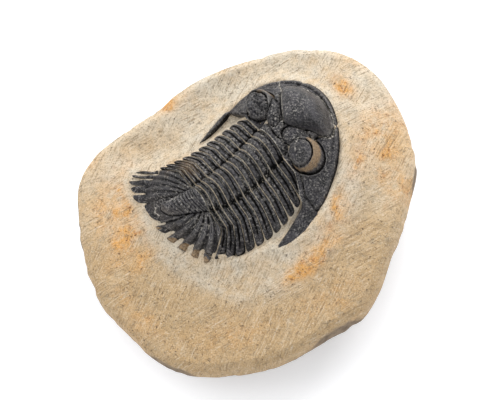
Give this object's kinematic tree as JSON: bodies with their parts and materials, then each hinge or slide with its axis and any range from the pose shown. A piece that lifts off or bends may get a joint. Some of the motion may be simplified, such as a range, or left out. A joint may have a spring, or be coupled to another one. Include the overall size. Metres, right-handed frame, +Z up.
{
  "type": "trilobite fossil",
  "caption": "Dark jointed trilobite with tall eyes, genal spines and a spiny tail, lying in a scraped hollow on a rounded pale limestone slab.",
  "frame": {"origin": "middle of the slab's bounding box, on the flat face that it rests on", "axes": "+Z up out of the fossil's side of the slab; the head points between +X and +Y"},
  "size_m": [0.097, 0.0938, 0.0418],
  "materials": {
    "limestone": "rough scraped limestone, cream with orange-tan stains",
    "fossil_shell": "dark grey-black calcite shell, satin, with pale dust in its seams"
  },
  "bodies": {
    "root": {"matrix": "limestone", "cephalon": "fossil_shell", "thorax_segment_01": "fossil_shell", "thorax_segment_02": "fossil_shell", "thorax_segment_03": "fossil_shell", "thorax_segment_04": "fossil_shell", "thorax_segment_05": "fossil_shell", "thorax_segment_06": "fossil_shell", "thorax_segment_07": "fossil_shell", "thorax_segment_08": "fossil_shell", "thorax_segment_09": "fossil_shell", "thorax_segment_10": "fossil_shell", "thorax_segment_11": "fossil_shell", "pygidium": "fossil_shell"}
  },
  "joints": []
}
